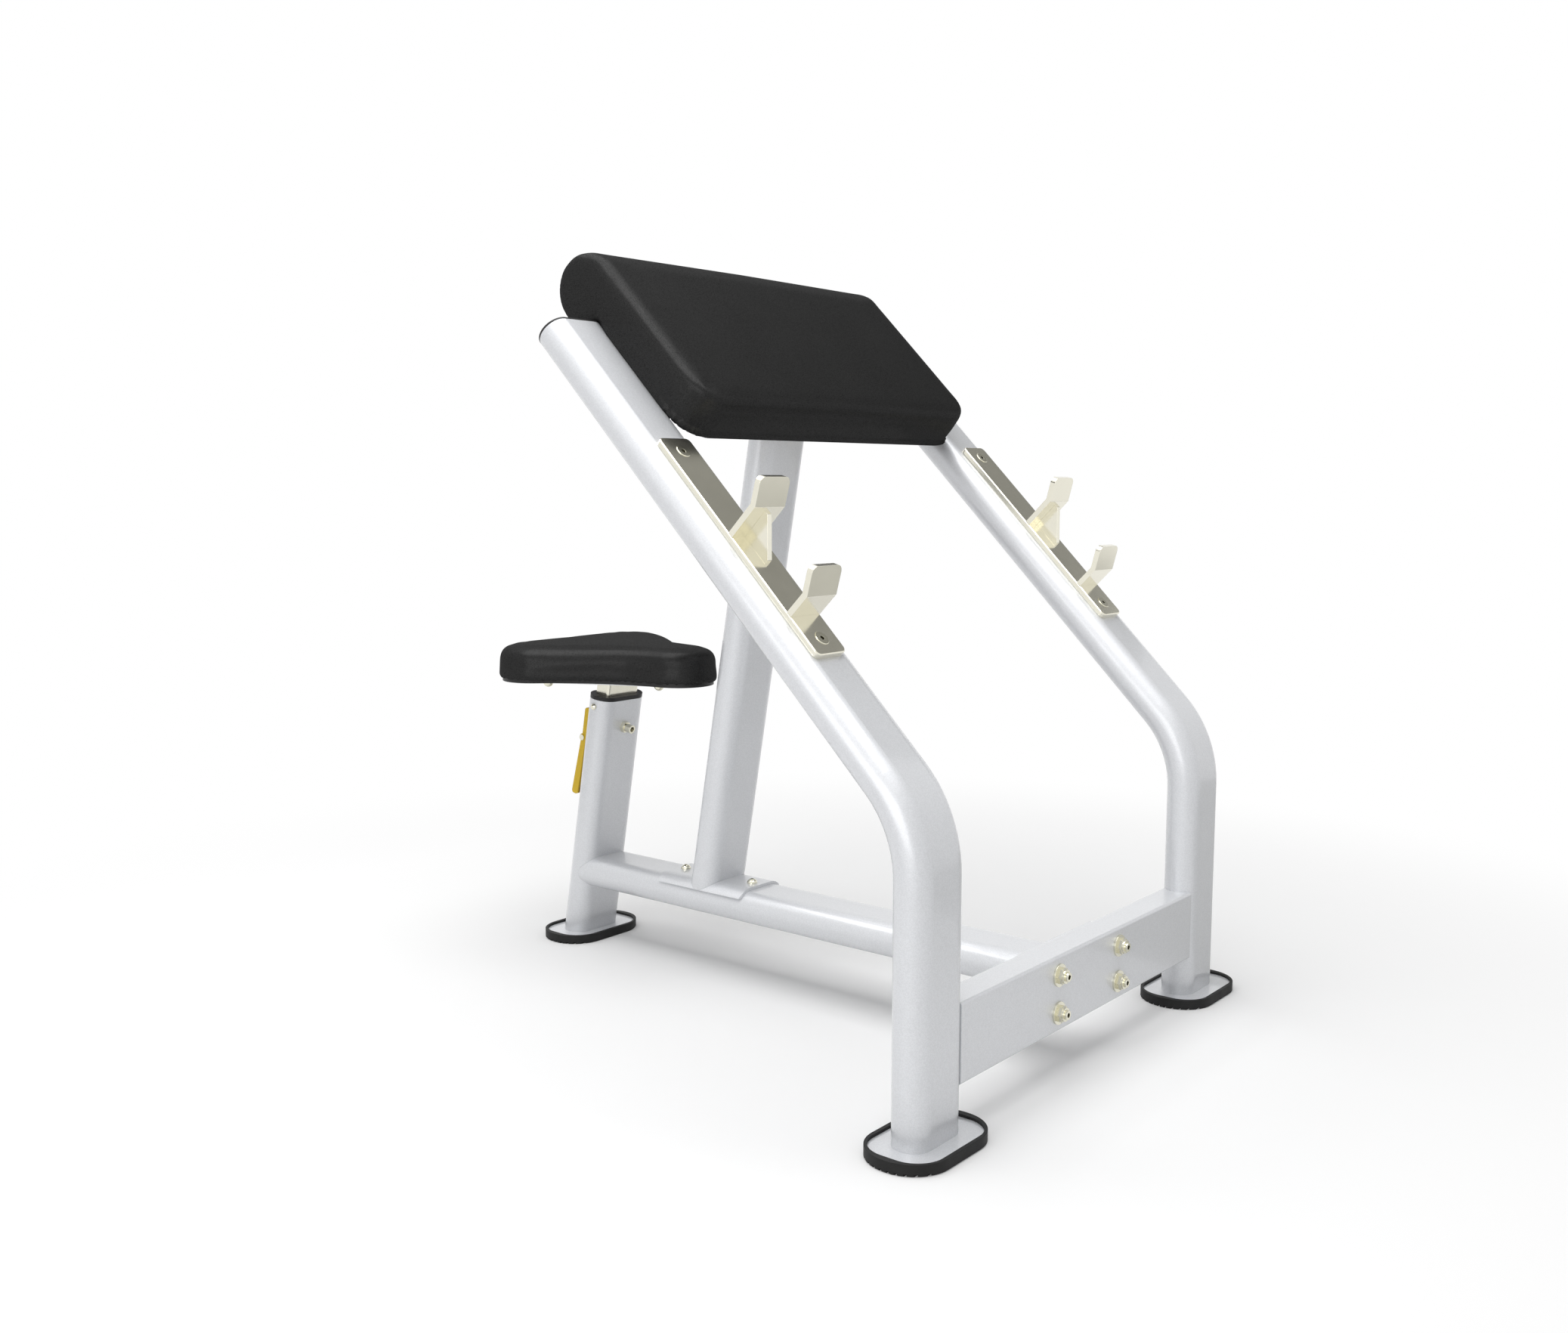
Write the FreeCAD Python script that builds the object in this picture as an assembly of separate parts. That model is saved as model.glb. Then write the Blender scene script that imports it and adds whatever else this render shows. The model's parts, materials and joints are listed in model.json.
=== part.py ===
import FreeCAD, Part
import math
import os

# Preacher curl bench. Millimetres, +Z up, floor at zero, arm pad and bar hooks towards -Y.
# The origin is on the floor, in the middle of the bench's length and width.

# Frame tube: a flat oval with its long side across the bench
tube_w = 100.0
tube_d = 50.0
tube_wall = 3.0

# Rectangular tube of the lower and upper cross members
box_h = 100.0
box_d = 45.0
box_wall = 3.0
box_corner = 4.0
cross_z = 117.0        # middle of the lower cross member above the floor
cross_bite = 10.0      # how far each end reaches round a leg's curved side
upper_cross_s = 684.5  # middle of the upper cross member along the slope
post_top_gap = 3.0     # centre post's top below the upper cross member's face

# Front legs: upright, bend, then a straight slope under the arm pad
leg_spacing = 700.0
leg_upright = 319.0    # floor to the start of the bend
leg_bend_r = 157.0
slope_angle = 45.0     # degrees above the floor
leg_slope = 751.5
cap_t = 3.0
cap_plug = 15.0
cap_wall = 2.5
plug_gap = 0.2

# Feet: a steel plate in a grooved rubber tray
foot_l = 170.0
foot_w = 107.5
foot_corner = 52.0
foot_shift = 2.0       # feet stand this far forward of their tubes
foot_h = 14.5
foot_sole = 5.0
foot_bevel = 1.5
foot_plate_l = 152.0
foot_plate_w = 97.0
foot_plate_corner = 38.0
foot_plate_t = 6.0
groove_pitch = 10.0
groove_w = 3.5
groove_depth = 3.0

# Rear half: beam, centre post and seat sleeve
post_lean = 10.0       # degrees forward from upright
centre_post_back = 660.0
seat_post_back = 933.0
beam_trim = 8.0        # the beam stops this far in front of the sleeve's axis
end_plate_w = 210.0
end_plate_h = 90.0
end_plate_t = 8.0
end_plate_corner = 8.0

# Bolts that hold the beam's end plate to the lower cross member
beam_bolt_x = 81.5
beam_bolt_z = 25.0
beam_bolt_d = 12.0
beam_head_af = 19.0
beam_head_h = 7.5
beam_washer_d = 30.0
beam_washer_t = 2.5
beam_nut_af = 19.0
beam_nut_h = 6.5
beam_collar_d = 18.0
beam_collar_h = 2.5
beam_bolt_tip = 3.5
beam_socket_af = 6.0
beam_socket_depth = 4.0
hole_gap = 0.5         # radial room of a bolt in its hole

# Saddle plate between beam and centre post
saddle_l = 175.0
saddle_t = 4.5
saddle_drop = 9.0      # skirt edge below the beam's top
saddle_corner = 14.0
saddle_bolt_gap = 141.0
saddle_bolt_d = 10.0
saddle_head_d = 16.0
saddle_head_h = 7.0
saddle_nut_af = 14.0
saddle_nut_h = 9.0
saddle_socket_af = 5.0
saddle_socket_depth = 3.0

# Rack plates and bar hooks on the slopes
rack_w = 56.0
rack_t = 8.0
rack_low = 161.5
rack_high = 522.5
rack_corner = 8.0
rack_bevel = 1.2
rack_screw_inset = 24.0
rack_screw_d = 10.0
rack_screw_head_d = 20.0
rack_screw_head_h = 5.0
rack_screw_rim = 0.8   # head's rim above the rack plate
rack_screw_bevel = 0.5
rack_screw_l = 30.0
rack_socket_af = 6.0
rack_socket_depth = 3.5
hook_t = 8.0
hook_tip = 35.0
hook_bend = 30.0       # degrees
hook_corner = 9.0
upper_hook_s = 358.0   # bar side of the hook along the slope
upper_hook_reach = 50.0
lower_hook_s = 229.0
lower_hook_reach = 33.0
gusset_leg = 45.0
gusset_tip = 6.0
gusset_round = 2.5
gusset_t = 8.0

# Arm pad on a board, bolted to the upper cross member
pad_w = 632.0
pad_down = 148.5       # lower end below the upper cross member's middle, along the slope
pad_t = 60.5
roll_up = 123.0        # middle of the roll above the same place
roll_r = 51.0
pad_corner = 50.0
pad_edge = 12.0
pad_under_share = 0.2  # how much of the edge's rounding its underside takes
pad_end_round = 15.0
pad_foot_round = 6.0
pad_crown = 2.0
pad_corner_turn_shares = [0.0, 0.25, 0.5, 0.75, 1.0]
board_w = 540.0
board_down = 104.5
board_up = 60.5
board_t = 12.0
board_corner = 20.0
pad_bolt_x = 180.0
pad_bolt_s = 25.0
pad_bolt_d = 8.0
pad_bolt_bite = 8.0    # thread depth in the board
pad_head_af = 13.0
pad_head_h = 5.5
pad_washer_d = 24.0
pad_washer_t = 2.0

# Seat sleeve, its bush and the two screws in it
sleeve_l = 420.5       # floor to the top, along the axis
bush_flange = 6.5
bush_plug = 85.0
slide_gap = 0.4
bush_screw_down = 12.5
bush_screw_d = 6.0
bush_screw_l = 11.0
bush_screw_head_d = 11.0
bush_screw_head_h = 4.0
clamp_down = 45.5
clamp_d = 10.0
clamp_clear = 0.3
clamp_nut_af = 17.0
clamp_nut_h = 7.0
clamp_head_d = 14.0
clamp_head_h = 12.5
clamp_socket_af = 8.0
clamp_socket_depth = 6.0

# Seat: sliding tube, plate, board and cushion
seat_tube_w = 70.0
seat_tube_d = 30.0
seat_tube_wall = 3.0
seat_tube_corner = 5.0
seat_tube_in = 255.0   # tube below the sleeve's top in the lowest position
glide_h = 20.0
glide_floor = 4.0
glide_gap = 0.3
seat_steps = 5
hole_pitch = 30.0
lock_hole_gap = 0.3
seat_rise = 20.5       # bush top to the seat plate, at the tube's axis
seat_t = 60.0
seat_plate_t = 6.0
seat_plate_round = 22.0
seat_board_t = 12.0
seat_board_inset = 5.0
seat_board_show = 5.0  # board below the cushion's lower edge
seat_nose_reach = 142.0
seat_nose_r = 58.0
seat_lobe_x = 106.0
seat_lobe_back = 81.0
seat_lobe_r = 60.0
seat_waist_r = 315.0
seat_round = 26.0
seat_height_shares = [0.0, 0.08, 0.65, 0.82, 0.93, 1.0]
seat_inset_shares = [0.10, 0.0, 0.0, 0.14, 0.42, 1.0]
seat_bolt_front = 94.0
seat_bolt_back = 81.0
seat_bolt_x = 81.0
seat_bolt_d = 8.0
seat_bolt_bite = 9.0
seat_head_d = 16.0
seat_head_h = 9.5

# Seat lock: a sprung pin in a housing, drawn by a hand lever
lock_down = 48.5       # pin below the sleeve's top
lock_clear = 0.3       # pin tip clear of the seat tube in the stored pose
lock_pin_d = 12.0
lock_rod_d = 5.0
lock_collar_d = 17.0
lock_collar_t = 2.0
lock_collar_in = 1.5   # collar's front inside the sleeve's back face
lock_ball_d = 7.0
lock_run_gap = 0.05
lock_pocket_wall = 2.5 # bush left in front of the collar's pocket
guide_od = 24.0
guide_id = 18.0
guide_l = 13.0
guide_cap = 2.0
spring_mean_d = 11.5
spring_wire = 1.2
spring_turns = 4
spring_seat_gap = 0.1
pivot_down = 84.5      # lever pivot below the sleeve's top
pivot_out = 27.5       # lever pivot behind the sleeve's back face
pivot_d = 6.0
pivot_gap = 0.05
pivot_head_d = 10.0
pivot_head_t = 2.0
pivot_side_gap = 0.3
pivot_tail = 2.5
clip_od = 10.0
clip_t = 1.0
ear_t = 4.0
ear_round = 5.5
ear_side_gap = 0.5
bracket_h = 26.0
bracket_t = 4.0
lever_w = 32.0
lever_sheet = 2.5
lever_up = 53.0
lever_down = 101.0
lever_back = 1.0       # pivot to the upper arm's back
lever_step = 2.0       # extra depth behind the pivot on the lower arm
lever_depth = 11.0
lever_end_depth = 14.0
lever_kick = 5.0       # degrees
lever_round = 5.0
lever_boss_r = 6.5
lever_window = 20.0
lever_ball_hole = 11.0
fork_in = 7.5          # fork's front ahead of the pivot
fork_t = 2.0
fork_h = 16.0
fork_slot_gap = 0.5
fork_slot_rise = 1.6
fork_ball_gap = 0.4
dome_rim_share = 0.25
clip_mouth_share = 0.25

overrun = 5.0          # every cut reaches this far past what it cuts
tolerance = 0.01

V = FreeCAD.Vector
ACROSS = V(1, 0, 0)
BACK = V(0, 1, 0)
UP = V(0, 0, 1)


def tilted(angle, y, z):
    """Frame at (0, y, z), turned about X by an angle in degrees."""
    return FreeCAD.Placement(V(0, y, z), FreeCAD.Rotation(ACROSS, angle))


def put(shape, frame):
    moved = shape.copy()
    moved.Placement = frame.multiply(moved.Placement)
    return moved


def stand(shape, foot, direction):
    """Move a shape built up along +Z to stand at a foot point along a direction."""
    return put(shape, FreeCAD.Placement(foot, FreeCAD.Rotation(UP, direction)))


def box(x0, x1, y0, y1, z0, z1):
    return Part.makeBox(x1 - x0, y1 - y0, z1 - z0, V(x0, y0, z0))


def rod(d, start, end):
    return Part.makeCylinder(d / 2, (end - start).Length, start, end - start)


def flat(a, b):
    return V(a, b, 0)


def upright(a, b):
    return V(0, a, b)


def outline(points, radii, lift):
    """Closed wire through 2-D corner points; each corner is rounded by its radius (0 = sharp)."""
    count = len(points)
    arcs = []
    for i in range(count):
        here = V(points[i][0], points[i][1], 0)
        before = V(points[i - 1][0], points[i - 1][1], 0) - here
        after = V(points[(i + 1) % count][0], points[(i + 1) % count][1], 0) - here
        before.normalize()
        after.normalize()
        half = before.getAngle(after) / 2
        reach = radii[i] / math.tan(half)
        middle = before + after
        middle.normalize()
        top = here + middle * (radii[i] / math.sin(half) - radii[i])
        arcs.append((here + before * reach, top, here + after * reach, radii[i]))
    edges = []
    for i in range(count):
        start, top, end, radius = arcs[i]
        if radius > 0:
            edges.append(Part.Arc(lift(start.x, start.y), lift(top.x, top.y), lift(end.x, end.y)).toShape())
        following = arcs[(i + 1) % count][0]
        if (following - end).Length > tolerance:
            edges.append(Part.makeLine(lift(end.x, end.y), lift(following.x, following.y)))
    return Part.Wire(edges)


def slab(wire, run):
    return Part.Face(wire).extrude(run)


def rectangle(width, height, radius):
    w = width / 2
    h = height / 2
    return outline([(-w, -h), (w, -h), (w, h), (-w, h)], [radius] * 4, flat)


def oval(width, depth):
    """Flat oval in the XY plane, long side along X."""
    r = depth / 2
    h = width / 2 - r
    return Part.Wire([
        Part.makeLine(V(-h, -r, 0), V(h, -r, 0)),
        Part.Arc(V(h, -r, 0), V(h + r, 0, 0), V(h, r, 0)).toShape(),
        Part.makeLine(V(h, r, 0), V(-h, r, 0)),
        Part.Arc(V(-h, r, 0), V(-h - r, 0, 0), V(-h, -r, 0)).toShape(),
    ])


def rise(wire, low, high):
    """Extrude a wire of the XY plane from one height to another."""
    solid = slab(wire, V(0, 0, high - low))
    solid.translate(V(0, 0, low))
    return solid


def oval_bar(low, high, grow=0.0):
    return rise(oval(tube_w + 2 * grow, tube_d + 2 * grow), low, high)


def oval_tube(low, high):
    return oval_bar(low, high).cut(oval_bar(low - overrun, high + overrun, -tube_wall))


def hexagon(across_flats):
    r = across_flats / math.sqrt(3)
    return Part.makePolygon([V(r * math.cos(math.radians(a)), r * math.sin(math.radians(a)), 0)
                             for a in range(0, 361, 60)])


def hex_bar(across_flats, low, high):
    return rise(hexagon(across_flats), low, high)


def dome(d, h):
    """Button head: a short cylinder under a spherical cap, seated at z = 0."""
    rim = h * dome_rim_share
    cap = h - rim
    ball_r = ((d / 2) ** 2 + cap ** 2) / (2 * cap)
    ball = Part.makeSphere(ball_r, V(0, 0, h - ball_r))
    return ball.common(Part.makeCylinder(d / 2, h))


def mirrored(shape):
    return shape.mirror(V(0, 0, 0), ACROSS)


def solids(shape):
    """The one solid of a boolean result."""
    found = shape.removeSplitter().Solids
    if len(found) != 1:
        raise ValueError("expected one solid, found %d" % len(found))
    return found[0]


# Places worked out from the sizes
leg_x = leg_spacing / 2
beta = math.radians(90 - slope_angle)
lean = math.radians(post_lean)
front_reach = foot_w / 2 + foot_shift
seat_plate_z = (sleeve_l + bush_flange) * math.cos(lean) + seat_rise
seat_bottom = seat_plate_z + seat_plate_t
seat_h = seat_bottom + seat_t
seat_axis_back = seat_post_back - seat_plate_z * math.tan(lean)
back_reach = seat_axis_back + seat_lobe_back + seat_lobe_r
leg_y = (front_reach - back_reach) / 2
seat_y = leg_y + seat_axis_back
plate_top = foot_sole + foot_plate_t
beam_top = cross_z + tube_d / 2
span = leg_spacing + leg_slope + seat_post_back
slope_y = leg_y + leg_bend_r * (1 - math.cos(beta))
slope_z = leg_upright + leg_bend_r * math.sin(beta)

# Local frames: on the slope Y runs up the leg and Z stands off it; on a post Z runs up its axis
slope = tilted(slope_angle, slope_y, slope_z)
slope_run = tilted(slope_angle - 90, slope_y, slope_z)
post = tilted(post_lean, leg_y + centre_post_back, 0)
sleeve = tilted(post_lean, leg_y + seat_post_back, 0)
lie_back = tilted(-90, leg_y + box_d / 2 + end_plate_t, cross_z)

pieces = {}

# Legs and their caps
leg_section = Part.Face(oval(tube_w, tube_d)).cut(
    Part.Face(oval(tube_w - 2 * tube_wall, tube_d - 2 * tube_wall))).Faces[0]
leg_section.translate(V(leg_x, leg_y, leg_upright))
bend_axis = V(leg_x, leg_y + leg_bend_r, leg_upright)
leg = oval_tube(plate_top, leg_upright)
leg.translate(V(leg_x, leg_y, 0))
leg = leg.fuse(leg_section.revolve(bend_axis, ACROSS * -1, math.degrees(beta)))
leg_top = oval_tube(0, leg_slope)
leg_top.translate(V(leg_x, 0, 0))
leg = leg.fuse(put(leg_top, slope_run))
rack_screw_s = [rack_low + rack_screw_inset, rack_high - rack_screw_inset]
for s in rack_screw_s:
    hole = rod(rack_screw_d + 2 * hole_gap, V(leg_x, s, 0), V(leg_x, s, tube_d))
    leg = leg.cut(put(hole, slope))
leg = solids(leg)
pieces["right_leg"] = leg
pieces["left_leg"] = mirrored(leg)

plug = oval_bar(leg_slope - cap_plug, leg_slope, -tube_wall - plug_gap)
plug = plug.cut(oval_bar(leg_slope - cap_plug - overrun, leg_slope, -tube_wall - plug_gap - cap_wall))
cap = solids(oval_bar(leg_slope, leg_slope + cap_t).fuse(plug))
cap.translate(V(leg_x, 0, 0))
cap = put(cap, slope_run)
pieces["right_leg_cap"] = cap
pieces["left_leg_cap"] = mirrored(cap)

# Feet
tray = rise(rectangle(foot_l, foot_w, foot_corner), 0, foot_h)
rim = [e for e in tray.Edges if e.BoundBox.ZMax < foot_bevel]
tray = tray.makeChamfer(foot_bevel, rim)
inner = rectangle(foot_plate_l, foot_plate_w, foot_plate_corner)
tray = tray.cut(rise(inner, foot_sole, foot_h + overrun))
rows = int((foot_w / 2 - groove_w) / groove_pitch + 0.5)
for i in range(-rows, rows):
    y = (i + 0.5) * groove_pitch
    tray = tray.cut(box(-foot_l, foot_l, y - groove_w / 2, y + groove_w / 2, -overrun, groove_depth))
tray = solids(tray)
foot_plate = rise(inner, foot_sole, plate_top)
rear_foot_y = leg_y + seat_post_back - plate_top * math.tan(lean) - foot_shift
feet = [("left", -leg_x, leg_y - foot_shift), ("right", leg_x, leg_y - foot_shift), ("rear", 0, rear_foot_y)]
for name, x, y in feet:
    place = FreeCAD.Placement(V(x, y, 0), FreeCAD.Rotation())
    pieces[name + "_foot_rubber"] = put(tray, place)
    pieces[name + "_foot_plate"] = put(foot_plate, place)

# Cross members, coped to the legs' round sides
def cross_member(low, high):
    """Rectangular tube along X with its tall side along local Y."""
    outer = rectangle(box_h, box_d, box_corner)
    inner_h = box_h - 2 * box_wall
    inner_wire = rectangle(inner_h, box_d - 2 * box_wall, box_corner - box_wall)
    tube = rise(outer, low, high).cut(rise(inner_wire, low - overrun, high + overrun))
    return stand(tube, V(0, 0, 0), ACROSS)


cross_end = leg_x - tube_w / 2 + cross_bite
leg_core = oval_bar(0, leg_upright)
leg_core.translate(V(leg_x, leg_y, 0))
slope_core = oval_bar(0, leg_slope)
slope_core.translate(V(leg_x, 0, 0))
slope_core = put(slope_core, slope_run)

# stand() turns local X to -Z, so the tall side is upright on the lower member
lower = put(cross_member(-cross_end, cross_end), tilted(0, leg_y, cross_z))
bolt_places = [(sx * beam_bolt_x, sz * beam_bolt_z) for sx in (-1, 1) for sz in (-1, 1)]
for x, z in bolt_places:
    lower = lower.cut(rod(beam_bolt_d + 2 * hole_gap, V(x, leg_y - box_d, cross_z + z),
                          V(x, leg_y + box_d, cross_z + z)))
pieces["cross_tube"] = solids(lower.cut(leg_core).cut(mirrored(leg_core)))

upper = put(cross_member(-cross_end, cross_end), tilted(slope_angle - 90, 0, 0))
upper.translate(slope.multVec(V(0, upper_cross_s, 0)))
pad_bolt_places = [(sx * pad_bolt_x, upper_cross_s + ss * pad_bolt_s) for sx in (-1, 1) for ss in (-1, 1)]
for x, s in pad_bolt_places:
    upper = upper.cut(put(rod(pad_bolt_d + 2 * hole_gap, V(x, s, -box_d), V(x, s, box_d)), slope))
pieces["upper_cross_tube"] = solids(upper.cut(slope_core).cut(mirrored(slope_core)))

# Beam and its end plate
beam_run = seat_post_back - box_d / 2 - end_plate_t
beam = put(oval_tube(0, beam_run), lie_back)
sleeve_core = put(oval_bar(-sleeve_l, sleeve_l), sleeve)
behind = put(box(-tube_w, tube_w, -beam_trim, span, -span, span), sleeve)
beam = beam.cut(behind).cut(sleeve_core)
saddle_y = leg_y + centre_post_back - (beam_top + saddle_t) * math.tan(lean)
saddle_places = [saddle_y - saddle_bolt_gap / 2, saddle_y + saddle_bolt_gap / 2]
saddle_holes = [rod(saddle_bolt_d + 2 * hole_gap, V(0, y, 0), V(0, y, beam_top + tube_d)) for y in saddle_places]
for hole in saddle_holes:
    beam = beam.cut(hole)
pieces["beam_tube"] = solids(beam)

end_plate = rise(rectangle(end_plate_w, end_plate_h, end_plate_corner), 0, end_plate_t)
end_plate = put(end_plate, tilted(90, leg_y + box_d / 2 + end_plate_t, cross_z))
for x, z in bolt_places:
    end_plate = end_plate.cut(rod(beam_bolt_d + 2 * hole_gap, V(x, leg_y, cross_z + z),
                                  V(x, leg_y + box_d, cross_z + z)))
pieces["beam_end_plate"] = solids(end_plate)

# Beam bolts: head behind the plate, nut and socketed tip in front
front_y = leg_y - box_d / 2
rear_y = leg_y + box_d / 2 + end_plate_t
grip = rear_y - front_y
stack = beam_washer_t + beam_nut_h + beam_collar_h
washer = Part.makeCylinder(beam_washer_d / 2, beam_washer_t)
washer = washer.cut(Part.makeCylinder(beam_bolt_d / 2 + hole_gap, beam_washer_t))
nut = hex_bar(beam_nut_af, 0, beam_nut_h).fuse(Part.makeCylinder(beam_collar_d / 2, beam_collar_h,
                                                                 V(0, 0, beam_nut_h)))
nut = solids(nut.cut(Part.makeCylinder(beam_bolt_d / 2, span)))
bolt = hex_bar(beam_head_af, -grip - beam_washer_t - beam_head_h, -grip - beam_washer_t)
shank_l = grip + beam_washer_t + stack + beam_bolt_tip
bolt = bolt.fuse(Part.makeCylinder(beam_bolt_d / 2, shank_l, V(0, 0, -grip - beam_washer_t)))
bolt_end = stack + beam_bolt_tip
bolt = solids(bolt.cut(hex_bar(beam_socket_af, bolt_end - beam_socket_depth, bolt_end + overrun)))
bolts, washers, nuts = [], [], []
for x, z in bolt_places:
    seat_point = V(x, front_y, cross_z + z)
    bolts.append(stand(bolt, seat_point, BACK * -1))
    washers.append(stand(washer, seat_point, BACK * -1))
    washers.append(stand(washer, V(x, rear_y, cross_z + z), BACK))
    nuts.append(stand(nut, seat_point - BACK * beam_washer_t, BACK * -1))
pieces["beam_bolts"] = Part.makeCompound(bolts)
pieces["beam_washers"] = Part.makeCompound(washers)
pieces["beam_nuts"] = Part.makeCompound(nuts)

# Saddle plate wrapped over the beam
wrap = rise(oval(tube_w + 2 * saddle_t, tube_d + 2 * saddle_t), 0, beam_run)
wrap = put(wrap, lie_back)
saddle = wrap.cut(put(oval_bar(-overrun, beam_run + overrun), lie_back))
plan = rectangle(tube_w + 2 * saddle_t, saddle_l, saddle_corner)
trim = rise(plan, beam_top - saddle_drop, beam_top + tube_d)
trim.translate(V(0, saddle_y, 0))
saddle = saddle.common(trim)
for hole in saddle_holes:
    saddle = saddle.cut(hole)
pieces["saddle_plate"] = solids(saddle)

saddle_bolt_l = saddle_t + tube_d + saddle_nut_h / 2
saddle_bolt = dome(saddle_head_d, saddle_head_h).fuse(
    Part.makeCylinder(saddle_bolt_d / 2, saddle_bolt_l, V(0, 0, -saddle_bolt_l)))
saddle_bolt = solids(saddle_bolt.cut(hex_bar(saddle_socket_af, saddle_head_h - saddle_socket_depth,
                                             saddle_head_h + overrun)))
saddle_nut = hex_bar(saddle_nut_af, 0, saddle_nut_h / 2).fuse(
    put(dome(saddle_nut_af, saddle_nut_h / 2), FreeCAD.Placement(V(0, 0, saddle_nut_h / 2), FreeCAD.Rotation())))
saddle_nut = solids(saddle_nut.cut(Part.makeCylinder(saddle_bolt_d / 2, saddle_nut_h / 2)))
pieces["saddle_bolts"] = Part.makeCompound(
    [stand(saddle_bolt, V(0, y, beam_top + saddle_t), UP) for y in saddle_places])
pieces["saddle_nuts"] = Part.makeCompound(
    [stand(saddle_nut, V(0, y, beam_top - tube_d), UP * -1) for y in saddle_places])

# Centre post, coped to the saddle below and to the upper cross member above
centre = put(oval_tube(0, span), post).cut(put(rise(oval(tube_w + 2 * saddle_t, tube_d + 2 * saddle_t),
                                                    -span, span), lie_back))
cope = box(-tube_w, tube_w, upper_cross_s - box_h / 2, span, -box_d / 2, span)
top_trim = box(-tube_w, tube_w, -span, span, box_d / 2 - post_top_gap, span)
centre = centre.cut(put(cope, slope)).cut(put(top_trim, slope))
centre = centre.cut(box(-tube_w, tube_w, leg_y, leg_y + span, -overrun, cross_z))
centre = [s for s in centre.Solids if s.BoundBox.ZMin < beam_top + tube_d][0]
pieces["centre_post"] = centre.removeSplitter().Solids[0]

# Rack plates with countersunk screws
rack_len = rack_high - rack_low
plate = rise(rectangle(rack_w, rack_len, rack_corner), 0, rack_t)
brow = [e for e in plate.Edges if e.BoundBox.ZMin > rack_t - rack_bevel]
plate = plate.makeChamfer(rack_bevel, brow)
plate.translate(V(leg_x, (rack_low + rack_high) / 2, tube_d / 2))
rack_top = tube_d / 2 + rack_t
screw = Part.makeCone(rack_screw_d / 2, rack_screw_head_d / 2, rack_screw_head_h, V(0, 0, -rack_screw_head_h))
screw_bore = screw.fuse(Part.makeCylinder(rack_screw_d / 2 + hole_gap, rack_screw_l, V(0, 0, -rack_screw_l)))
screw = screw.fuse(Part.makeCylinder(rack_screw_d / 2, rack_screw_l, V(0, 0, -rack_screw_l)))
screw_rim = Part.makeCylinder(rack_screw_head_d / 2, rack_screw_rim)
screw_rim = screw_rim.makeChamfer(rack_screw_bevel, [e for e in screw_rim.Edges if e.BoundBox.ZMin > rack_screw_rim / 2])
screw = screw.fuse(screw_rim)
screw = solids(screw.cut(hex_bar(rack_socket_af, -rack_socket_depth, overrun)))
for s in rack_screw_s:
    plate = plate.cut(stand(screw_bore, V(leg_x, s, rack_top), UP))
plate = put(solids(plate), slope)
pieces["right_rack_plate"] = plate
pieces["left_rack_plate"] = mirrored(plate)
pieces["rack_screws"] = Part.makeCompound(
    [put(stand(screw, V(side * leg_x, s, rack_top), UP), slope) for side in (-1, 1) for s in rack_screw_s])


# Bar hooks: a strip square to the rack plate, then bent up
def hook(bar_s, reach):
    turn = math.radians(hook_bend)
    mitre = hook_t * math.tan(turn / 2)
    knee = rack_top + reach
    tip_s = hook_tip * math.sin(turn)
    tip_n = hook_tip * math.cos(turn)
    lip_s = hook_t * math.cos(turn)
    lip_n = hook_t * math.sin(turn)
    side = [(bar_s, rack_top), (bar_s, knee), (bar_s + tip_s, knee + tip_n),
            (bar_s + tip_s - lip_s, knee + tip_n + lip_n), (bar_s - hook_t, knee + mitre), (bar_s - hook_t, rack_top)]
    strip = slab(outline(side, [0] * len(side), upright), ACROSS * rack_w)
    strip.translate(V(leg_x - rack_w / 2, 0, 0))
    ends = [e for e in strip.Edges if abs(e.Length - hook_t) < tolerance and e.BoundBox.ZMin > knee + tip_n / 2]
    return strip.makeFillet(hook_corner, ends)


for name, bar_s, reach in (("upper", upper_hook_s, upper_hook_reach), ("lower", lower_hook_s, lower_hook_reach)):
    right = hook(bar_s, reach)
    left = right.copy()
    left.translate(V(-leg_spacing, 0, 0))
    pieces["right_%s_hook" % name] = put(right, slope)
    pieces["left_%s_hook" % name] = put(left, slope)

# Gussets under the middle of the upper hooks
under = upper_hook_s - hook_t
tri = [(under, rack_top), (under, rack_top + gusset_leg), (under - gusset_tip, rack_top + gusset_leg),
       (under - gusset_leg, rack_top + gusset_tip), (under - gusset_leg, rack_top)]
tri_rounds = [0, 0, gusset_round, gusset_round, 0]
for name, side in (("left", -1), ("right", 1)):
    gusset = slab(outline(tri, tri_rounds, upright), ACROSS * gusset_t)
    gusset.translate(V(side * leg_x - gusset_t / 2, 0, 0))
    pieces[name + "_gusset"] = put(gusset, slope)

# Arm pad: a crowned slab that ends in a roll, lofted across its width
pad_under = tube_d / 2
pad_low = upper_cross_s - pad_down
roll_s = upper_cross_s + roll_up
board_low = upper_cross_s - board_down
board_high = upper_cross_s + board_up
pad_top = pad_under + pad_t
roll_n = pad_top - roll_r


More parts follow.
